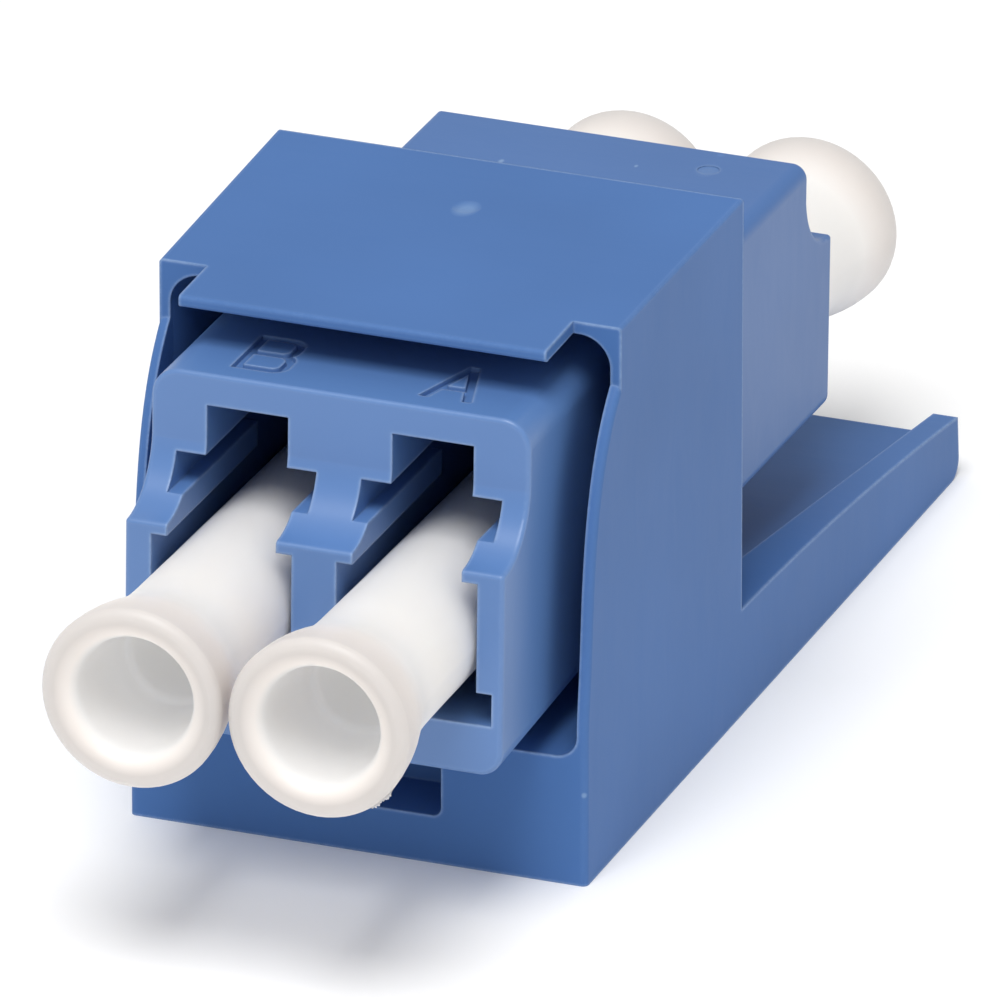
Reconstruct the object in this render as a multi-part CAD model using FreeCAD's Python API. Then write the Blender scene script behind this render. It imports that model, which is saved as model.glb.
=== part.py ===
import FreeCAD, Part
import math
import os
from FreeCAD import Vector as V

# LC duplex fibre adapter in a snap-in module housing, with four dust caps.
# Millimetres.  +Z up, +Y towards the rear, +X to the right seen from the
# front.  Origin: centre of the footprint, on the face the module rests on.

# ------------------------------------------------------------ dimensions
# frame
SHIFT_Y = -11.0          # moves the lower front face off Y = 0 to centre the footprint

# module housing (one moulding: shroud, visor and tail)
HALF_W_FRONT = 7.76      # half width at the lower front face
DRAFT = 0.0142           # half width gained per mm towards the rear
HOUSING_REAR = 13.82
HOUSING_H = 18.17
WALL_FRONT_Y = 2.95      # upper front edge of the side walls
TOP_T = 0.40             # top plate at its front edge
SIDE_T = 0.35            # side wall at its front edge
VISOR_Y = 0.47
VISOR_HALF_W = 6.19
SILL_Z = 4.43
EDGE_R = 0.20
TOP_EDGE_R = 0.12
MOUTH_R_TOP = 1.05
MOUTH_R_BOTTOM = 0.75
NOTCH_HALF_W = 2.83      # driver slot in the lower front wall
NOTCH_Z0 = 1.66
NOTCH_Z1 = 3.70
NOTCH_DEPTH = 2.4
POCKET_Y = 7.3           # where the wide mouth ends and the close pocket starts
MARK_X, MARK_Y, MARK_R, MARK_T = -0.08, 10.12, 0.46, 0.07   # gate dimple on the top plate
CORE_WALL, CORE_SKIN = 1.20, 1.10   # coring of the underside

# tail
TAIL_END = 33.95
TAIL_TOP = ((13.82, 3.76), (24.0, 3.20), (33.95, 2.12))
TAIL_TIP_R = 0.65
FLOOR_Z0, FLOOR_Z1 = 3.19, 1.38          # tray floor at the housing and at the tip
FLOOR_HW0, FLOOR_HW1 = 5.42, 6.66        # half width of the tray floor

# adapter: its fibre axis is tipped nose-up in the housing
TILT = 1.95
AXIS_Y, AXIS_Z = 11.0, 9.146             # midpoint of the fibre axes
PITCH = 6.25                             # LC duplex
ADAPTER_HW = 6.38
FRONT_TOP, FRONT_BOT, FRONT_BOT_MID = 6.93, -4.32, -3.48
REAR_TOP, REAR_BOT = 6.12, -3.28
FRONT_FACE, FRONT_LIP = -12.66, -14.90   # upper face and projecting lower lip
REAR_FACE, REAR_LIP = 13.10, 15.52
LIP_Z_F, LIP_Z_R = 2.58, 2.80
TOP_R_FRONT, TOP_R_REAR = (0.95, 0.95), (0.16, 0.50)   # left and right top corners
BOT_R_FRONT, BOT_R_REAR = 0.80, 0.50
RIM_R = 0.13                             # small edge rounding of both shells

# one LC port, about its own fibre axis
PORT_HW = 2.37
PORT_BOT, PORT_TOP = -2.60, 4.20
RAIL_Z0, RAIL_Z1, NECK_HW = 2.20, 3.07, 1.84
RAIL_LEN = 8.0
SLOT_HW, SLOT_TOP_F, SLOT_TOP_R = 1.37, 5.88, 5.50
SLOT_LEN = 8.5
FLANGE_T = 1.0
UNDER_X, UNDER_Z = 2.89, -1.50           # wider foot of the port, outer side
UNDER_LEN = 6.0

# sleeve barrels and split sleeves
BARREL_R, BARREL_LEN = 1.50, 6.40
SLEEVE_SEAT_R, LIP_HOLE_R, LIP_MOUTH_R = 0.86, 0.70, 1.00
SLEEVE_R, SLEEVE_BORE_R, SLEEVE_LEN, SLIT = 0.81, 0.627, 11.40, 0.20

# dust cap, s measured from the rim towards the port
CAP_RIM = 22.90
CAP_LEN = 18.90
CAP_OUT = ((0.34, 3.02), (1.00, 2.965), (1.90, 2.80), (2.90, 2.53), (3.90, 2.38), (4.90, 2.325))
CAP_TUBE_R1, CAP_TUBE_R2 = 2.285, 2.20    # at the port mouth and at the inner end
CAP_MOUTH_R, CAP_MOUTH_ROUND, CAP_FLOOR_R, CAP_DEPTH = 1.92, 0.80, 1.66, 4.10
CAP_WEB = 1.10
CAP_CORE_R, CAP_GRIP_R = 1.15, 1.55

# letters sunk in the top of the adapter, beside its front edge
LETTER_H, LETTER_W, LETTER_STROKE = 2.80, 1.78, 0.30
LETTER_T_FRONT = 0.16
LETTER_X = 3.16
LETTER_Y_FRONT = 11.75
REAR_MARK_X, REAR_MARK_Y, REAR_MARK_R, REAR_MARK_T = 3.56, 11.45, 0.36, 0.03   # ejector mark on the rear half

os.makedirs("parts", exist_ok=True)


# --------------------------------------------------------------- helpers
def box(x0, x1, y0, y1, z0, z1):
    return Part.makeBox(x1 - x0, y1 - y0, z1 - z0, V(x0, y0, z0))


def prism(points, direction):
    wire = Part.makePolygon([V(*p) for p in points] + [V(*points[0])])
    return Part.Face(wire).extrude(V(*direction))


def face_of(edges):
    return Part.Face(Part.Wire(Part.__sortEdges__(edges)))


def line(a, b):
    return Part.LineSegment(V(*a), V(*b)).toShape()


def arc(a, b, c):
    return Part.Arc(V(*a), V(*b), V(*c)).toShape()


def edges_where(shape, test):
    out = []
    for e in shape.Edges:
        b = e.BoundBox
        if test(b):
            out.append(e)
    return out


def place_adapter(shape):
    s = shape.copy()
    s.rotate(V(0, 0, 0), V(1, 0, 0), -TILT)
    s.translate(V(0, AXIS_Y + SHIFT_Y, AXIS_Z))
    return s


def place_housing(shape):
    s = shape.copy()
    s.translate(V(0, SHIFT_Y, 0))
    return s


def save(shape, name):
    s = shape
    if s.ShapeType == "Compound" and len(s.Solids) == 1:
        s = s.Solids[0]
    assert s.isValid(), name
    print("%-24s solids %d  volume %.2f  box %s" % (
        name, len(s.Solids), s.Volume,
        [round(v, 3) for v in (s.BoundBox.XMin, s.BoundBox.XMax, s.BoundBox.YMin,
                               s.BoundBox.YMax, s.BoundBox.ZMin, s.BoundBox.ZMax)]))
    s.exportStep("parts/%s.step" % name)


def half_width(y):
    return HALF_W_FRONT + DRAFT * y


# --------------------------------------------------------------- housing
def plan_prism(y0, y1, inset, z0, z1):
    a, b = half_width(y0) - inset, half_width(y1) - inset
    return prism([(-a, y0, z0), (a, y0, z0), (b, y1, z0), (-b, y1, z0)], (0, 0, z1 - z0))


def housing_outer():
    # side profile: lower front wall, swept wall edge, flat top, rear face
    sweep = Part.BSplineCurve()
    sweep.interpolate([V(-9, 0.0, 5.2), V(-9, 0.16, 6.9), V(-9, 0.42, 9.8), V(-9, 0.74, 11.9),
                       V(-9, 1.27, 13.7), V(-9, 1.83, 14.82), V(-9, 2.38, 15.58), V(-9, WALL_FRONT_Y, 16.18)],
                      InitialTangent=V(0, 0, 1), FinalTangent=V(0, 0.75, 0.66))
    edges = [line((-9, 0, 0), (-9, 0, 5.2)), sweep.toShape(),
             line((-9, WALL_FRONT_Y, 16.18), (-9, WALL_FRONT_Y, HOUSING_H)),
             line((-9, WALL_FRONT_Y, HOUSING_H), (-9, HOUSING_REAR, HOUSING_H)),
             line((-9, HOUSING_REAR, HOUSING_H), (-9, HOUSING_REAR, 0)),
             line((-9, HOUSING_REAR, 0), (-9, 0, 0))]
    body = face_of(edges).extrude(V(18, 0, 0))
    return body.common(plan_prism(-1.0, HOUSING_REAR + 1, 0.0, 0.0, HOUSING_H)).removeSplitter()


def tail():
    (ya, za), (yb, zb), (yc, zc) = TAIL_TOP
    r = TAIL_TIP_R
    k = r * (1 - math.sqrt(0.5))
    edges = [line((-9, ya - 1.0, 0), (-9, yc - r, 0)),
             arc((-9, yc - r, 0), (-9, yc - k, k), (-9, yc, r)),
             line((-9, yc, r), (-9, yc - 0.12, zc)),
             arc((-9, yc - 0.12, zc), (-9, yb, zb), (-9, ya, za)),
             line((-9, ya, za), (-9, ya - 1.0, za)),
             line((-9, ya - 1.0, za), (-9, ya - 1.0, 0))]
    side = face_of(edges).extrude(V(18, 0, 0))
    body = side.common(plan_prism(ya - 1.0, yc + 1, 0.0, 0.0, 6.0))
    def section(y, z, hw):
        top = 6.0
        return Part.makePolygon([V(-hw, y, z), V(hw, y, z), V(hw + top - z, y, top),
                                 V(-hw - top + z, y, top), V(-hw, y, z)])
    # slopes carried a little past the tip so that the tray runs out at the end
    f = 1.0 / (yc - ya)
    dz, dw = (FLOOR_Z1 - FLOOR_Z0) * f, (FLOOR_HW1 - FLOOR_HW0) * f
    tray = Part.makeLoft([section(ya, FLOOR_Z0, FLOOR_HW0),
                          section(yc + 1, FLOOR_Z1 + dz, FLOOR_HW1 + dw)], True, True)
    return body.cut(tray)


def cores():
    # shallow pockets under the tail and the sill, so that no wall is thick
    out = []
    (ya, za), (yb, zb), (yc, zc) = TAIL_TOP

    def ceiling(y):
        return FLOOR_Z0 + (FLOOR_Z1 - FLOOR_Z0) * (y - ya) / (yc - ya) - CORE_SKIN
    y0, y1 = 15.2, 29.2
    for s in (-1, 1):
        x0, x1 = sorted((s * 0.55, s * (half_width(y0) - CORE_WALL)))
        pocket = prism([(x0, y0, -1), (x0, y1, -1), (x0, y1, ceiling(y1)), (x0, y0, ceiling(y0))], (x1 - x0, 0, 0))
        pocket = pocket.makeFillet(0.4, edges_where(pocket, lambda b: b.ZMin < -0.9 and b.ZMax > 0 and b.YMax - b.YMin < 0.01))
        out.append(pocket)
        x0, x1 = sorted((s * 0.55, s * (half_width(4.0) - CORE_WALL)))
        pocket = box(x0, x1, 3.9, 13.9, -1.0, 3.05)
        pocket = pocket.makeFillet(0.4, edges_where(pocket, lambda b: b.ZMin < -0.9 and b.ZMax > 0 and b.YMax - b.YMin < 0.01))
        out.append(pocket)
    return out


def rounded_tunnel(stations, rb, rt):
    # a tapering tunnel with rounded corners through (y, half width, bottom, top) stations
    def section(y, hw, zb, zt):
        c = 1 - math.sqrt(0.5)
        e = [line((-hw + rb, y, zb), (hw - rb, y, zb)),
             arc((hw - rb, y, zb), (hw - rb * c, y, zb + rb * c), (hw, y, zb + rb)),
             line((hw, y, zb + rb), (hw, y, zt - rt)),
             arc((hw, y, zt - rt), (hw - rt * c, y, zt - rt * c), (hw - rt, y, zt)),
             line((hw - rt, y, zt), (-hw + rt, y, zt)),
             arc((-hw + rt, y, zt), (-hw + rt * c, y, zt - rt * c), (-hw, y, zt - rt)),
             line((-hw, y, zt - rt), (-hw, y, zb + rb)),
             arc((-hw, y, zb + rb), (-hw + rb * c, y, zb + rb * c), (-hw + rb, y, zb))]
        return Part.Wire(e)
    return Part.makeLoft([section(*st) for st in stations], True, True)


def make_housing():
    body = housing_outer()
    # rounded front corners of the lower wall and swept wall edges, and the top plate's edges
    front = edges_where(body, lambda b: b.YMax < WALL_FRONT_Y + 0.01 and b.ZMax - b.ZMin > 3.0
                        and abs(abs(b.XMin) - half_width(1.0)) < 0.12)
    body = body.makeFillet(EDGE_R, front)
    tops = edges_where(body, lambda b: b.ZMin > HOUSING_H - 0.01 and b.YMax - b.YMin > 5)
    body = body.makeFillet(TOP_EDGE_R, tops)
    body = body.fuse(tail()).removeSplitter()

    # visor: the top plate carried forward between the walls
    visor = box(-VISOR_HALF_W, VISOR_HALF_W, VISOR_Y, WALL_FRONT_Y + 0.8, HOUSING_H - TOP_T, HOUSING_H)
    visor = visor.makeFillet(0.13, edges_where(visor, lambda b: b.YMax < VISOR_Y + 0.01 and b.XMax - b.XMin > 1.0))

    # mouth: straight at the front, then closing in on the adapter
    a = half_width(0) - SIDE_T
    mouth = rounded_tunnel([(-1.0, a, SILL_Z, HOUSING_H - TOP_T), (3.2, a + 0.03, SILL_Z, HOUSING_H - TOP_T),
                            (POCKET_Y, 6.92, SILL_Z, HOUSING_H - TOP_T - 0.45)], MOUTH_R_BOTTOM, MOUTH_R_TOP)
    body = body.cut(mouth)
    body = body.fuse(visor).removeSplitter()

    # close pocket for the adapter's front shell, and the hole its rear shell passes through
    def in_housing(shape):
        s = shape.copy()
        s.rotate(V(0, 0, 0), V(1, 0, 0), -TILT)
        s.translate(V(0, AXIS_Y, AXIS_Z))
        return s
    c = 0.04
    pocket = box(-ADAPTER_HW - c, ADAPTER_HW + c, -4.6, 0.0, FRONT_BOT_MID - 0.31, FRONT_TOP + c)
    hole = box(-ADAPTER_HW - c, ADAPTER_HW + c, -0.5, 5.0, REAR_BOT - c, REAR_TOP + c)
    body = body.cut(in_housing(pocket)).cut(in_housing(hole))
    # snap ribs that hold the front shell in the pocket
    for s in (-1, 1):
        rib = box(6.16, 7.2, -3.10, -2.30, -1.8, 2.8)
        if s < 0:
            rib = rib.mirror(V(0, 0, 0), V(1, 0, 0))
        body = body.fuse(in_housing(rib))

    # driver slot in the lower front wall
    notch = box(-NOTCH_HALF_W, NOTCH_HALF_W, -1.0, NOTCH_DEPTH, NOTCH_Z0, NOTCH_Z1)
    notch = notch.makeFillet(0.30, edges_where(notch, lambda b: b.YMax - b.YMin > 2.0))
    body = body.cut(notch)
    for pocket in cores():
        body = body.cut(pocket)
    # gate dimple on the top plate
    r = (MARK_R ** 2 + MARK_T ** 2) / (2 * MARK_T)
    body = body.cut(Part.makeSphere(r, V(MARK_X, MARK_Y, HOUSING_H - MARK_T + r)))
    return body.removeSplitter()


# --------------------------------------------------------------- adapter
def shell_profile(sign, face, lip, top, bot, bot_mid, lip_z):
    # side view of one half: mid plane at y = 0, latch face set back above a lip
    x = -ADAPTER_HW
    mid = (x, face + 0.62 * sign, lip_z + 0.70)
    edges = [line((x, 0, bot_mid), (x, lip, bot)),
             line((x, lip, bot), (x, lip, lip_z)),
             arc((x, lip, lip_z), mid, (x, face, lip_z + 2.0)),
             line((x, face, lip_z + 2.0), (x, face, top)),
             line((x, face, top), (x, 0, top)),
             line((x, 0, top), (x, 0, bot_mid))]
    return face_of(edges).extrude(V(2 * ADAPTER_HW, 0, 0))


def round_corners(body, face, lip, top, bot, bot_mid, top_r, bot_r):
    span = 8.0
    long_edges = lambda b: (b.YMax - b.YMin > span and abs(abs(b.XMin) - ADAPTER_HW) < 0.01
                            and b.XMax - b.XMin < 0.01)
    for r, side in zip(top_r, (-1, 1)):
        body = body.makeFillet(r, edges_where(body, lambda b: long_edges(b) and b.ZMin > top - 0.05 and b.XMin * side > 0))
    body = body.makeFillet(bot_r, edges_where(body, lambda b: long_edges(b) and b.ZMax < max(bot, bot_mid) + 0.05))
    # small rounding round the whole end: latch face, swept flank and lower lip
    end = abs(face) - 0.01
    rim = edges_where(body, lambda b: min(abs(b.YMin), abs(b.YMax)) > end
                      and not (abs(b.ZMax - b.ZMin) < 0.01 and abs(b.ZMin - top) > 0.1
                               and min(abs(b.YMin), abs(b.YMax)) < abs(face) + 0.01))
    return body.makeFillet(RIM_R, rim)


def port_cavity(sign, cx, outer, face, lip, slot_top):
    # hollow of one LC port, opening towards sign * y, outer = side away from the middle
    def b(x0, x1, ya, yb, z0, z1):
        y0, y1 = sorted((ya * sign, yb * sign))
        return box(cx + x0, cx + x1, y0, y1, z0, z1)
    far = 18.0
    room = b(-PORT_HW, PORT_HW, FLANGE_T, far, PORT_BOT, PORT_TOP)
    slot = b(-SLOT_HW, SLOT_HW, abs(face) - SLOT_LEN, far, PORT_TOP - 0.5, slot_top)
    room = room.fuse(slot)
    for s in (-1, 1):
        x0, x1 = sorted((s * NECK_HW, s * (PORT_HW + 0.1)))
        room = room.cut(b(x0, x1, abs(lip) - RAIL_LEN, far, RAIL_Z0, RAIL_Z1))
    x0, x1 = sorted((outer * (PORT_HW - 0.5), outer * UNDER_X))
    room = room.fuse(b(x0, x1, abs(lip) - UNDER_LEN, far, PORT_BOT, UNDER_Z))
    return room


def barrel(sign, cx):
    tube = Part.makeCylinder(BARREL_R, BARREL_LEN, V(cx, 0, 0), V(0, sign, 0))
    tip = edges_where(tube, lambda b: abs(b.YMax * sign - BARREL_LEN) < 0.01 and b.YMax - b.YMin < 0.01
                      if sign > 0 else abs(b.YMin + BARREL_LEN) < 0.01 and b.YMax - b.YMin < 0.01)
    return tube.makeFillet(0.18, tip)


def barrel_bore(sign, cx):
    # sleeve seat, then a tapered lead-in whose narrow end holds the split sleeve in
    seat_end = SLEEVE_LEN / 2 + 0.05
    seat = Part.makeCylinder(SLEEVE_SEAT_R, seat_end, V(cx, 0, 0), V(0, sign, 0))
    slope = (LIP_MOUTH_R - LIP_HOLE_R) / (BARREL_LEN - seat_end)
    lead = Part.makeCone(LIP_HOLE_R - 0.1 * slope, LIP_MOUTH_R + 0.5 * slope, BARREL_LEN - seat_end + 0.6,
                         V(cx, sign * (seat_end - 0.1), 0), V(0, sign, 0))
    return seat.fuse(lead)


def make_shell(sign, face, lip, top, bot, bot_mid, slot_top, lip_z, top_r, bot_r):
    body = shell_profile(sign, face, lip, top, bot, bot_mid, lip_z)
    body = round_corners(body, face, lip, top, bot, bot_mid, top_r, bot_r)
    for side in (-1, 1):
        cx = side * PITCH / 2
        body = body.cut(port_cavity(sign, cx, side, face, lip, slot_top))
    for side in (-1, 1):
        cx = side * PITCH / 2
        body = body.fuse(barrel(sign, cx))
        body = body.cut(barrel_bore(sign, cx))
    return body


def letter(kind, cx, z_top, depth, y_foot, sign):
    # a sunk letter, foot towards the end face, drawn about the origin first
    h, w, t = LETTER_H, LETTER_W, LETTER_STROKE

    def bar(xa, ya, xb, yb):
        dx, dy = xb - xa, yb - ya
        n = math.hypot(dx, dy)
        ux, uy = dx / n * t / 2, dy / n * t / 2
        return prism([(xa - uy, ya + ux, 0), (xa + uy, ya - ux, 0),
                      (xb + uy, yb - ux, 0), (xb - uy, yb + ux, 0)], (0, 0, 1))

    def lobe(x0, x1, ya, yb, r):
        b = box(x0, x1, ya, yb, 0, 1)
        right = edges_where(b, lambda q: q.ZMax - q.ZMin > 0.5 and q.XMin > x1 - 0.01)
        return b.makeFillet(r, right)
    if kind == "A":
        out = bar(-w / 2 + t / 2, 0, 0, h).fuse(bar(w / 2 - t / 2, 0, 0, h)).fuse(bar(-w * 0.30, h * 0.33, w * 0.30, h * 0.33))
        out = out.common(box(-w, w, 0, h, -1, 2))
    else:
        x0, x1 = -w / 2, w / 2
        m = h * 0.50
        out = lobe(x0, x1, 0, m + t / 2, 0.55).fuse(lobe(x0, x1 - 0.12, m - t / 2, h, 0.55))
        out = out.cut(lobe(x0 + t, x1 - t, t, m - t / 2, 0.28)).cut(lobe(x0 + t, x1 - 0.12 - t, m + t / 2, h - t, 0.28))
    if sign > 0:
        out.rotate(V(0, 0, 0), V(0, 0, 1), 180)
    out.translate(V(cx, sign * y_foot, z_top - depth))
    return out


def make_front_shell():
    body = make_shell(-1, FRONT_FACE, FRONT_LIP, FRONT_TOP, FRONT_BOT, FRONT_BOT_MID, SLOT_TOP_F, LIP_Z_F,
                      TOP_R_FRONT, BOT_R_FRONT)
    for s in (-1, 1):
        x0, x1 = sorted((s * 6.10, s * 7.0))
        body = body.cut(box(x0, x1, -3.20, -2.20, -1.9, 2.9))
    body = body.cut(letter("B", -LETTER_X, FRONT_TOP, LETTER_T_FRONT, LETTER_Y_FRONT, -1))
    body = body.cut(letter("A", LETTER_X, FRONT_TOP, LETTER_T_FRONT, LETTER_Y_FRONT, -1))
    return body.removeSplitter()


def make_rear_shell():
    body = make_shell(1, REAR_FACE, REAR_LIP, REAR_TOP, REAR_BOT, REAR_BOT, SLOT_TOP_R, LIP_Z_R,
                      TOP_R_REAR, BOT_R_REAR)
    mark = Part.makeCylinder(REAR_MARK_R, 1.0, V(REAR_MARK_X, REAR_MARK_Y, REAR_TOP - REAR_MARK_T), V(0, 0, 1))
    return body.cut(mark).removeSplitter()


def make_sleeve(side):
    cx = side * PITCH / 2
    y0 = -SLEEVE_LEN / 2
    tube = Part.makeCylinder(SLEEVE_R, SLEEVE_LEN, V(cx, y0, 0), V(0, 1, 0))
    tube = tube.cut(Part.makeCylinder(SLEEVE_BORE_R, SLEEVE_LEN + 2, V(cx, y0 - 1, 0), V(0, 1, 0)))
    return tube.cut(box(cx - SLIT / 2, cx + SLIT / 2, y0 - 1, -y0 + 1, 0.3, 1.2))


# ------------------------------------------------------------- dust caps
def make_cap(sign, side):
    # half section in (r, s), s from the rim towards the port
    cx = side * PITCH / 2

    def p(r, s):
        return V(cx + r, sign * (CAP_RIM - s), 0)
    port_s = CAP_RIM - 14.9
    flare = Part.BSplineCurve()
    flare.interpolate([p(r, s) for s, r in CAP_OUT])
    rim_s, rim_r = CAP_OUT[0]
    last_s, last_r = CAP_OUT[-1]
    seg = lambda a, b: Part.LineSegment(a, b).toShape()
    arc3 = lambda a, b, c: Part.Arc(a, b, c).toShape()
    web0, web1 = CAP_DEPTH, CAP_DEPTH + CAP_WEB
    mr = CAP_MOUTH_ROUND          # wide soft rounding of the mouth
    step = CAP_RIM - BARREL_LEN - 0.03
    edges = [
        seg(p(0, CAP_DEPTH), p(CAP_FLOOR_R - 0.25, CAP_DEPTH)),
        arc3(p(CAP_FLOOR_R - 0.25, CAP_DEPTH), p(CAP_FLOOR_R - 0.05, CAP_DEPTH - 0.08), p(CAP_FLOOR_R + 0.03, CAP_DEPTH - 0.28)),
        seg(p(CAP_FLOOR_R + 0.03, CAP_DEPTH - 0.28), p(CAP_MOUTH_R, mr)),
        arc3(p(CAP_MOUTH_R, mr), p(CAP_MOUTH_R + 0.2929 * mr, 0.2929 * mr), p(CAP_MOUTH_R + mr, 0.0)),
        arc3(p(CAP_MOUTH_R + mr, 0.0), p(rim_r - 0.08, 0.12), p(rim_r, rim_s)),
        flare.toShape(),
        seg(p(last_r, last_s), p(CAP_TUBE_R1, port_s)),
        seg(p(CAP_TUBE_R1, port_s), p(CAP_TUBE_R2, CAP_LEN - 0.3)),
        seg(p(CAP_TUBE_R2, CAP_LEN - 0.3), p(CAP_TUBE_R2 - 0.2, CAP_LEN)),
        seg(p(CAP_TUBE_R2 - 0.2, CAP_LEN), p(CAP_GRIP_R + 0.15, CAP_LEN)),
        seg(p(CAP_GRIP_R + 0.15, CAP_LEN), p(CAP_GRIP_R, CAP_LEN - 0.3)),
        seg(p(CAP_GRIP_R, CAP_LEN - 0.3), p(CAP_GRIP_R, step)),
        seg(p(CAP_GRIP_R, step), p(CAP_CORE_R, step)),
        seg(p(CAP_CORE_R, step), p(CAP_CORE_R, web1)),
        seg(p(CAP_CORE_R, web1), p(0, web1)),
        seg(p(0, web1), p(0, web0)),
    ]
    face = Part.Face(Part.Wire(Part.__sortEdges__(edges)))
    return face.revolve(V(cx, 0, 0), V(0, 1, 0), 360)


# ------------------------------------------------------------------ write
save(place_housing(make_housing()), "module_housing")
save(place_adapter(make_front_shell()), "adapter_front_shell")
save(place_adapter(make_rear_shell()), "adapter_rear_shell")
save(place_adapter(make_sleeve(1)), "split_sleeve_a")
save(place_adapter(make_sleeve(-1)), "split_sleeve_b")
save(place_adapter(make_cap(-1, 1)), "dust_cap_front_a")
save(place_adapter(make_cap(-1, -1)), "dust_cap_front_b")
save(place_adapter(make_cap(1, 1)), "dust_cap_rear_a")
save(place_adapter(make_cap(1, -1)), "dust_cap_rear_b")
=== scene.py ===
import math

import bpy
import bmesh
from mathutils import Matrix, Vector


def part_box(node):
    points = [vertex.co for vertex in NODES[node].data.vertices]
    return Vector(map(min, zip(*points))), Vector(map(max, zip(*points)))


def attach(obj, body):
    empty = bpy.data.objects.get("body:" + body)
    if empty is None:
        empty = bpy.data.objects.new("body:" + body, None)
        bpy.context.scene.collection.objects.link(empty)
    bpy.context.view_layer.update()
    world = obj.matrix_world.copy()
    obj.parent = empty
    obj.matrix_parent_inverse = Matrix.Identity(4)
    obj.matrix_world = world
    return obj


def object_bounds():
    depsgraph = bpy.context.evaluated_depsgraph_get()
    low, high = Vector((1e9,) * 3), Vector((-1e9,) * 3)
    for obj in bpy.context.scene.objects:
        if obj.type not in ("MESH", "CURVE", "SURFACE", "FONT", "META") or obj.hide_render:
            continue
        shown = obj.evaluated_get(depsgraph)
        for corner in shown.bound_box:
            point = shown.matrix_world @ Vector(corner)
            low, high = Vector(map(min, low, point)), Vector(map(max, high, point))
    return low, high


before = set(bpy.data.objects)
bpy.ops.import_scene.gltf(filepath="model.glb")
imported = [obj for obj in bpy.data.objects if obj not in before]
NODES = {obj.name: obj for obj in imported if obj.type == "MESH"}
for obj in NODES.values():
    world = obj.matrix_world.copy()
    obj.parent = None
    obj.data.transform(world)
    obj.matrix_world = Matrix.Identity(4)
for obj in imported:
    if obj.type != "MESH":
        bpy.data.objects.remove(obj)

CAD_LO, CAD_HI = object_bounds()
MM = 0.001


# ------------------------------------------------------------------ node help
class Graph:
    """A small helper that adds nodes and links them by socket name."""

    def __init__(self, name):
        self.mat = bpy.data.materials.new(name)
        self.mat.use_nodes = True
        self.nt = self.mat.node_tree
        self.nt.nodes.clear()
        self.out = self.nt.nodes.new("ShaderNodeOutputMaterial")
        coord = self.nt.nodes.new("ShaderNodeTexCoord")
        self.obj = coord.outputs["Object"]

    def node(self, kind, **props):
        n = self.nt.nodes.new(kind)
        for k, v in props.items():
            setattr(n, k, v)
        return n

    def link(self, a, b):
        self.nt.links.new(a, b)

    def mapped(self, scale, offset=(0, 0, 0)):
        m = self.node("ShaderNodeMapping")
        m.inputs["Scale"].default_value = scale
        m.inputs["Location"].default_value = offset
        self.link(self.obj, m.inputs["Vector"])
        return m.outputs["Vector"]

    def noise(self, scale, detail=3.0, rough=0.5, vector=None, distortion=0.0):
        n = self.node("ShaderNodeTexNoise")
        n.inputs["Scale"].default_value = scale
        n.inputs["Detail"].default_value = detail
        n.inputs["Roughness"].default_value = rough
        n.inputs["Distortion"].default_value = distortion
        self.link(vector or self.obj, n.inputs["Vector"])
        return n.outputs["Fac"]

    def ramp(self, fac, stops, interpolation="LINEAR"):
        r = self.node("ShaderNodeValToRGB")
        r.color_ramp.interpolation = interpolation
        e = r.color_ramp.elements
        e[0].position, e[0].color = stops[0][0], stops[0][1]
        e[1].position, e[1].color = stops[-1][0], stops[-1][1]
        for pos, col in stops[1:-1]:
            x = e.new(pos)
            x.color = col
        self.link(fac, r.inputs["Fac"])
        return r.outputs["Color"]

    def mix(self, fac, a, b, mode="MIX"):
        m = self.node("ShaderNodeMix", data_type="RGBA", blend_type=mode)
        if isinstance(fac, (int, float)):
            m.inputs["Factor"].default_value = fac
        else:
            self.link(fac, m.inputs["Factor"])
        for sock, v in ((m.inputs[6], a), (m.inputs[7], b)):
            if isinstance(v, (tuple, list)):
                sock.default_value = v
            else:
                self.link(v, sock)
        return m.outputs[2]

    def math(self, op, a, b=None, clamp=False):
        m = self.node("ShaderNodeMath", operation=op, use_clamp=clamp)
        for sock, v in zip(m.inputs, (a, b)):
            if v is None:
                continue
            if isinstance(v, (int, float)):
                sock.default_value = v
            else:
                self.link(v, sock)
        return m.outputs[0]

    def remap(self, v, a, b, c, d):
        m = self.node("ShaderNodeMapRange")
        m.clamp = True
        for sock, x in zip(("From Min", "From Max", "To Min", "To Max"), (a, b, c, d)):
            m.inputs[sock].default_value = x
        self.link(v, m.inputs["Value"])
        return m.outputs["Result"]

    def edge(self, radius, gain):
        """1 along sharp convex edges, 0 on flats: where the surface normal and a rounded one part."""
        bev = self.node("ShaderNodeBevel", samples=6)
        bev.inputs["Radius"].default_value = radius
        geo = self.node("ShaderNodeNewGeometry")
        dot = self.node("ShaderNodeVectorMath", operation="DOT_PRODUCT")
        self.link(bev.outputs["Normal"], dot.inputs[0])
        self.link(geo.outputs["Normal"], dot.inputs[1])
        return self.math("MULTIPLY", self.math("SUBTRACT", 1.0, dot.outputs["Value"]), gain, clamp=True)


def srgb(r, g, b):
    def lin(c):
        c /= 255.0
        return c / 12.92 if c <= 0.04045 else ((c + 0.055) / 1.055) ** 2.4
    return (lin(r), lin(g), lin(b), 1.0)


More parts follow.
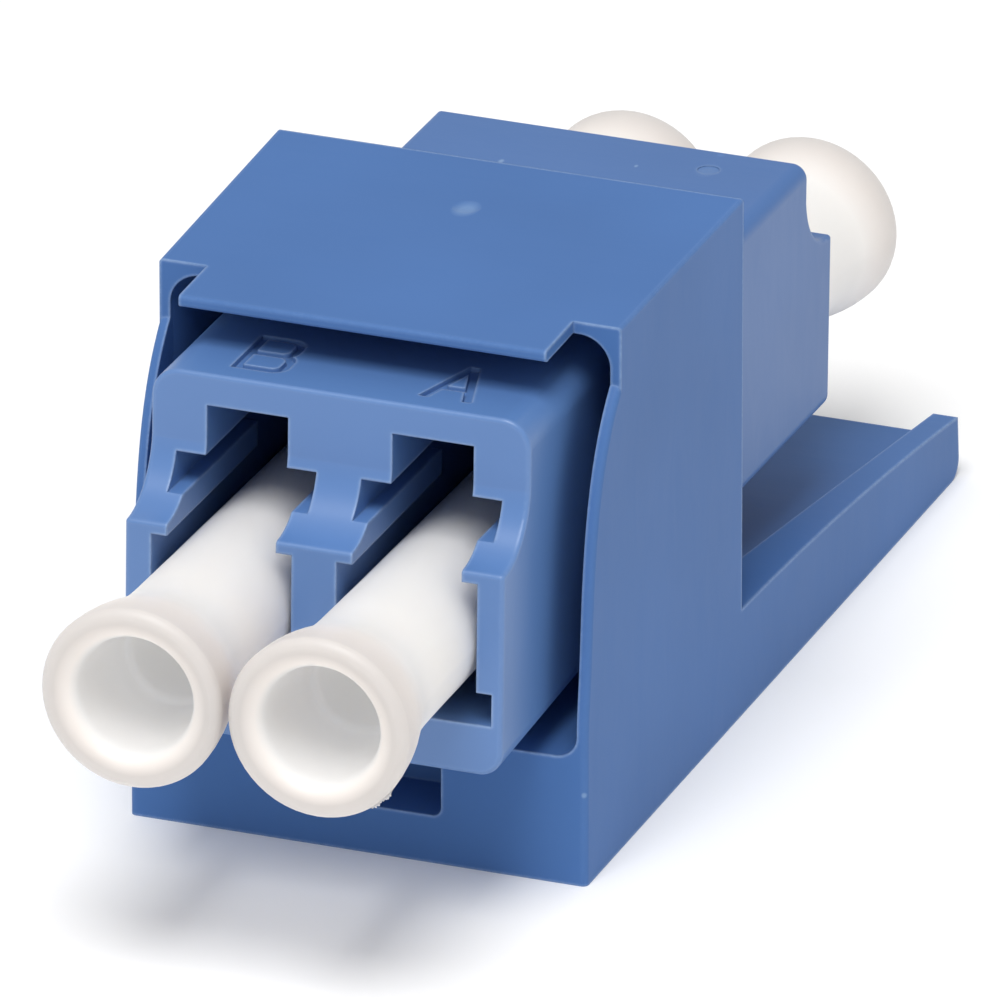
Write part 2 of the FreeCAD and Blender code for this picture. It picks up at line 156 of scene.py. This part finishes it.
# ------------------------------------------------------------------ materials
def blue_plastic(name, base, seed, rough=(0.33, 0.38), bevel=0.10 * MM, level=0.05, marks=(), edges=0.012):
    g = Graph(name)
    shift = (seed * 0.013, seed * 0.007, seed * 0.021)
    broad = g.noise(95.0, 2.0, 0.5, g.mapped((1, 1, 1), shift))
    flow = g.noise(260.0, 4.0, 0.55, g.mapped((1.0, 0.35, 1.0), shift), 0.4)
    fine = g.noise(5200.0, 3.0, 0.6, g.mapped((1, 1, 1), shift))
    grain = g.noise(14000.0, 2.0, 0.6, g.mapped((1, 1, 1), shift))
    dark = tuple(c * 0.955 for c in base[:3]) + (1.0,)
    light = tuple(min(1.0, c * 1.045) for c in base[:3]) + (1.0,)
    cloud = g.ramp(broad, [(0.32, dark), (0.68, light)])
    cloud = g.mix(g.remap(flow, 0.40, 0.72, 0.0, 0.05), cloud,
                  tuple(min(1.0, c * 1.16) for c in base[:3]) + (1.0,))
    # tiny paler specks in the moulding
    spots = g.node("ShaderNodeTexVoronoi", feature="F1", distance="EUCLIDEAN")
    spots.inputs["Scale"].default_value = 240.0
    spots.inputs["Randomness"].default_value = 1.0
    g.link(g.mapped((1, 1, 1), shift), spots.inputs["Vector"])
    speck = g.remap(spots.outputs["Distance"], 0.018, 0.040, 0.22, 0.0)
    cloud = g.mix(speck, cloud, tuple(min(1.0, c * 1.5 + 0.03) for c in base[:3]) + (1.0,))
    # painted highlight: paler colour along open convex edges, in place of the glint on their rounding
    ao = g.node("ShaderNodeAmbientOcclusion", samples=4, only_local=True)
    ao.inputs["Distance"].default_value = 0.5 * MM
    open_side = g.remap(ao.outputs["AO"], 0.62, 0.86, 0.0, 1.0)
    painted_edge_highlight = g.math("MULTIPLY", g.edge(0.20 * MM, 6.0), g.remap(fine, 0.35, 0.65, 0.60, 0.95))
    painted_edge_highlight = g.math("MULTIPLY", painted_edge_highlight, open_side)
    cloud = g.mix(painted_edge_highlight, cloud, (0.30, 0.43, 0.68, 1.0))
    for (mx, my, mz), (rx, ry, rz), amount, tint in marks:
        m = g.node("ShaderNodeMapping", vector_type="POINT")
        m.inputs["Scale"].default_value = (1 / (rx * MM), 1 / (ry * MM), 1 / (rz * MM))
        m.inputs["Location"].default_value = (-mx / rx, -my / ry, -mz / rz)
        g.link(g.obj, m.inputs["Vector"])
        d = g.node("ShaderNodeVectorMath", operation="LENGTH")
        g.link(m.outputs["Vector"], d.inputs[0])
        soft = g.math("ADD", d.outputs["Value"], g.remap(flow, 0.3, 0.7, -0.18, 0.18))
        cloud = g.mix(g.remap(soft, 0.45, 1.05, amount, 0.0), cloud, tint)
    # soft scuffs change the gloss only
    scuff_v = g.mapped((240.0, 900.0, 240.0), shift)
    scuff = g.noise(1.0, 5.0, 0.62, scuff_v, 1.2)
    r = g.remap(scuff, 0.35, 0.70, rough[0], rough[1])
    p = g.node("ShaderNodeBsdfPrincipled")
    g.link(cloud, p.inputs["Base Color"])
    g.link(r, p.inputs["Roughness"])
    p.inputs["IOR"].default_value = 1.52
    p.inputs["Specular IOR Level"].default_value = level
    bev = g.node("ShaderNodeBevel", samples=6)
    bev.inputs["Radius"].default_value = bevel
    b1 = g.node("ShaderNodeBump")
    b1.inputs["Strength"].default_value = 0.10
    b1.inputs["Distance"].default_value = 0.012 * MM
    g.link(fine, b1.inputs["Height"])
    g.link(bev.outputs["Normal"], b1.inputs["Normal"])
    b2 = g.node("ShaderNodeBump")
    b2.inputs["Strength"].default_value = 0.06
    b2.inputs["Distance"].default_value = 0.006 * MM
    g.link(grain, b2.inputs["Height"])
    g.link(b1.outputs["Normal"], b2.inputs["Normal"])
    g.link(b2.outputs["Normal"], p.inputs["Normal"])
    g.link(p.outputs["BSDF"], g.out.inputs["Surface"])
    return g.mat


def milky_plastic(name, base, seed, rim):
    g = Graph(name)
    shift = (seed * 0.011, seed * 0.017, seed * 0.005)
    broad = g.noise(140.0, 3.0, 0.5, g.mapped((1, 1, 1), shift))
    streak = g.noise(330.0, 3.0, 0.55, g.mapped((1.0, 0.22, 1.0), shift), 0.5)
    fine = g.noise(3600.0, 3.0, 0.6, g.mapped((1, 1, 1), shift))
    warm = tuple(c * k for c, k in zip(base[:3], (0.985, 0.982, 0.977))) + (1.0,)
    col = g.ramp(broad, [(0.30, warm), (0.70, base)])
    col = g.mix(g.remap(streak, 0.45, 0.75, 0.0, 0.30), col,
                tuple(min(1.0, c * 1.05) for c in base[:3]) + (1.0,))
    # painted shade: the flared lip is painted greyer than the tube, in place of the shade on its front face
    sep = g.node("ShaderNodeSeparateXYZ")
    g.link(g.obj, sep.inputs["Vector"])
    painted_rim_shade = g.remap(g.math("ABSOLUTE", sep.outputs["Y"]), rim - 2.4 * MM, rim + 0.1 * MM, 0.0, 1.0)
    x = g.math("SUBTRACT", g.math("ABSOLUTE", sep.outputs["X"]), 3.125 * MM)
    z = g.math("ADD", g.math("SUBTRACT", sep.outputs["Z"], 9.146 * MM), g.math("MULTIPLY", sep.outputs["Y"], 0.034047))
    radius = g.math("SQRT", g.math("ADD", g.math("MULTIPLY", x, x), g.math("MULTIPLY", z, z)))
    painted_rim_shade = g.math("MULTIPLY", painted_rim_shade, g.remap(radius, 1.95 * MM, 2.55 * MM, 0.0, 1.0))
    col = g.mix(painted_rim_shade, col, tuple(c * k for c, k in zip(base[:3], (0.60, 0.61, 0.62))) + (1.0,))
    # painted shade: the hollow of the mouth is painted a neutral grey, darker near the rim and lighter deeper in, in
    # place of the light and shade inside it
    inner = g.math("MULTIPLY", g.remap(radius, 1.95 * MM, 2.15 * MM, 1.0, 0.0),
                   g.remap(g.math("ABSOLUTE", sep.outputs["Y"]), rim - 4.4 * MM, rim - 4.0 * MM, 0.0, 1.0))
    deep = g.remap(g.math("ABSOLUTE", sep.outputs["Y"]), rim - 3.2 * MM, rim - 0.7 * MM, 0.0, 1.0)
    painted_hollow_shade = g.mix(deep, (0.955, 0.945, 0.938, 1.0), (0.78, 0.77, 0.76, 1.0))
    col = g.mix(inner, col, painted_hollow_shade)
    p = g.node("ShaderNodeBsdfPrincipled")
    g.link(col, p.inputs["Base Color"])
    g.link(g.remap(fine, 0.3, 0.7, 0.40, 0.52), p.inputs["Roughness"])
    p.inputs["IOR"].default_value = 1.50
    p.inputs["Subsurface Weight"].default_value = 0.9
    p.inputs["Subsurface Radius"].default_value = (1.0, 0.97, 0.94)
    p.inputs["Subsurface Scale"].default_value = 1.8 * MM
    p.inputs["Coat Weight"].default_value = 0.06
    p.inputs["Coat Roughness"].default_value = 0.30
    bev = g.node("ShaderNodeBevel", samples=6)
    bev.inputs["Radius"].default_value = 0.12 * MM
    b1 = g.node("ShaderNodeBump")
    b1.inputs["Strength"].default_value = 0.10
    b1.inputs["Distance"].default_value = 0.03 * MM
    g.link(broad, b1.inputs["Height"])
    g.link(bev.outputs["Normal"], b1.inputs["Normal"])
    b2 = g.node("ShaderNodeBump")
    b2.inputs["Strength"].default_value = 0.08
    b2.inputs["Distance"].default_value = 0.010 * MM
    g.link(fine, b2.inputs["Height"])
    g.link(b1.outputs["Normal"], b2.inputs["Normal"])
    g.link(b2.outputs["Normal"], p.inputs["Normal"])
    g.link(p.outputs["BSDF"], g.out.inputs["Surface"])
    return g.mat


def ceramic(name, base):
    g = Graph(name)
    fine = g.noise(4200.0, 3.0, 0.6)
    broad = g.noise(420.0, 2.0, 0.5)
    col = g.ramp(broad, [(0.3, tuple(c * 0.95 for c in base[:3]) + (1.0,)), (0.7, base)])
    p = g.node("ShaderNodeBsdfPrincipled")
    g.link(col, p.inputs["Base Color"])
    g.link(g.remap(fine, 0.3, 0.7, 0.12, 0.22), p.inputs["Roughness"])
    p.inputs["IOR"].default_value = 2.1
    b = g.node("ShaderNodeBump")
    b.inputs["Strength"].default_value = 0.05
    b.inputs["Distance"].default_value = 0.004 * MM
    g.link(fine, b.inputs["Height"])
    g.link(b.outputs["Normal"], p.inputs["Normal"])
    g.link(p.outputs["BSDF"], g.out.inputs["Surface"])
    return g.mat


def paper(name, level):
    g = Graph(name)
    broad = g.noise(3.0, 3.0, 0.5)
    col = g.ramp(broad, [(0.3, (level * 0.992, level * 0.992, level * 0.992, 1.0)), (0.7, (level, level, level, 1.0))])
    p = g.node("ShaderNodeBsdfPrincipled")
    g.link(col, p.inputs["Base Color"])
    p.inputs["Roughness"].default_value = 0.9
    p.inputs["Specular IOR Level"].default_value = 0.1
    p.inputs["Emission Color"].default_value = (1.0, 0.995, 0.985, 1.0)
    p.inputs["Emission Strength"].default_value = 0.07
    g.link(p.outputs["BSDF"], g.out.inputs["Surface"])
    return g.mat


HOUSING_BLUE = (0.073, 0.168, 0.405, 1.0)
SHELL_BLUE = (0.100, 0.212, 0.475, 1.0)
PALE_BLUE = (0.215, 0.340, 0.560, 1.0)
housing_marks = [((-0.08, -0.98, 18.1), (0.46, 0.66, 0.8), 0.55, PALE_BLUE),
                 ((7.66, -11.0, 3.19), (0.10, 0.30, 0.12), 0.85, PALE_BLUE)]
rear_marks = [((3.56, 11.6, 14.9), (0.40, 0.62, 0.6), 0.22, PALE_BLUE),
              ((-2.91, 9.84, 14.93), (0.10, 0.18, 0.4), 0.8, PALE_BLUE),
              ((1.28, 11.08, 14.89), (0.07, 0.12, 0.4), 0.8, PALE_BLUE)]
CAP_WHITE = (0.942, 0.876, 0.832, 1.0)

mats = {
    "module_housing": blue_plastic("housing_moulding", HOUSING_BLUE, 1.0, marks=housing_marks),
    "adapter_front_shell": blue_plastic("front_shell_moulding", SHELL_BLUE, 2.0, level=0.55),
    "adapter_rear_shell": blue_plastic("rear_shell_moulding", HOUSING_BLUE, 3.0, level=0.20, marks=rear_marks),
    "split_sleeve_a": ceramic("zirconia_ceramic_a", srgb(244, 242, 236)),
    "split_sleeve_b": ceramic("zirconia_ceramic_b", srgb(244, 242, 236)),
    "dust_cap_front_a": milky_plastic("cap_plastic_front_a", CAP_WHITE, 1.0, 22.9 * MM),
    "dust_cap_front_b": milky_plastic("cap_plastic_front_b", CAP_WHITE, 2.0, 22.9 * MM),
    "dust_cap_rear_a": milky_plastic("cap_plastic_rear_a", CAP_WHITE, 3.0, 22.9 * MM),
    "dust_cap_rear_b": milky_plastic("cap_plastic_rear_b", CAP_WHITE, 4.0, 22.9 * MM),
}
for name, mat in mats.items():
    ob = NODES[name]
    ob.material_slots[0].material = mat


# ------------------------------------------------------------------ cap flash
def moulding_flash(cap, body, a0, a1, radius, depth, steps=26):
    """A thin ragged fin of plastic on the rim of a cap, between two angles about its axis."""
    lo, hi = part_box(cap)
    cx, cz = (lo.x + hi.x) / 2, None
    tilt = math.radians(1.95)
    along = Vector((0.0, -math.cos(tilt), math.sin(tilt)))
    up = Vector((0.0, math.sin(tilt), math.cos(tilt)))
    centre = Vector((cx, 0.0, 9.146 * MM)) + along * (22.9 * MM)
    ragged = (0.02, 0.06, 0.03, 0.09, 0.05, 0.11, 0.07, 0.04, 0.10, 0.06, 0.02, 0.05, 0.03)
    bm = bmesh.new()
    rings = []
    for i in range(steps + 1):
        t = i / steps
        a = math.radians(a0 + (a1 - a0) * t)
        out = Vector((math.cos(a), 0.0, 0.0)) + up * math.sin(a)
        fade = min(1.0, 5 * t, 5 * (1 - t))
        h = ragged[i % len(ragged)] * fade
        back = depth + 0.04 * math.sin(i * 1.7)
        row = []
        for r, s in ((radius - 0.10, back - 0.07), (radius + h, back - 0.02),
                     (radius + h * 0.9, back + 0.03), (radius - 0.10, back + 0.08)):
            row.append(bm.verts.new(centre + out * (r * MM) - along * (s * MM)))
        rings.append(row)
    for p, q in zip(rings, rings[1:]):
        for k in range(4):
            bm.faces.new((p[k], p[(k + 1) % 4], q[(k + 1) % 4], q[k]))
    bm.faces.new(rings[0][::-1])
    bm.faces.new(rings[-1])
    bmesh.ops.recalc_face_normals(bm, faces=bm.faces)
    me = bpy.data.meshes.new(cap + "_flash")
    bm.to_mesh(me)
    bm.free()
    ob = bpy.data.objects.new(cap + "_flash", me)
    bpy.context.scene.collection.objects.link(ob)
    me.materials.append(mats[cap])
    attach(ob, body)
    return ob


moulding_flash("dust_cap_front_a", "cap_front_a", -56.0, -35.0, 3.02, 0.34)


# ------------------------------------------------------------------ floor
def make_floor():
    bm = bmesh.new()
    bmesh.ops.create_grid(bm, x_segments=2, y_segments=2, size=6.0)
    me = bpy.data.meshes.new("floor")
    bm.to_mesh(me)
    bm.free()
    ob = bpy.data.objects.new("floor", me)
    bpy.context.scene.collection.objects.link(ob)
    me.materials.append(paper("floor_paper", 0.97))
    return ob


make_floor()


# ------------------------------------------------------------------ light
def softbox(name, loc, target, size, power, size_y=None, color=(1, 1, 1)):
    data = bpy.data.lights.new(name, "AREA")
    data.shape = "RECTANGLE"
    data.size = size
    data.size_y = size_y or size
    data.energy = power
    data.color = color
    ob = bpy.data.objects.new(name, data)
    ob.location = loc
    ob.rotation_mode = "QUATERNION"
    ob.rotation_quaternion = (Vector(target) - Vector(loc)).to_track_quat("-Z", "Y")
    bpy.context.scene.collection.objects.link(ob)
    return ob


world = bpy.data.worlds.new("studio")
bpy.context.scene.world = world
world.use_nodes = True
bg = world.node_tree.nodes["Background"]
bg.inputs["Color"].default_value = (1.0, 1.0, 1.0, 1.0)
bg.inputs["Strength"].default_value = 0.55

C = (CAD_LO + CAD_HI) / 2
softbox("key_top", (C.x + 0.02, C.y - 0.18, 0.41), C, 0.22, 1.34)

# ------------------------------------------------------------------ camera
AZ, EL = math.radians(20.466), math.radians(24.492)
BACK = Vector((math.sin(AZ) * math.cos(EL), -math.cos(AZ) * math.cos(EL), math.sin(EL)))
RIGHT = Vector((math.cos(AZ), math.sin(AZ), 0.0))
UP = Vector((-math.sin(EL) * math.sin(AZ), math.sin(EL) * math.cos(AZ), math.cos(EL)))
AIM = Vector((0.0, -0.001, 0.008)) + RIGHT * 0.001027 - UP * 0.000006
cam_data = bpy.data.cameras.new("camera")
cam_data.sensor_width = 36.0
cam_data.sensor_fit = "HORIZONTAL"
cam_data.lens = 899.8
cam_data.clip_start, cam_data.clip_end = 0.05, 20.0
cam = bpy.data.objects.new("camera", cam_data)
cam.location = AIM + BACK * 0.8
cam.rotation_mode = "QUATERNION"
cam.rotation_quaternion = (-BACK).to_track_quat("-Z", "Y")
bpy.context.scene.collection.objects.link(cam)
bpy.context.scene.camera = cam
bpy.context.scene.view_settings.view_transform = "Standard"
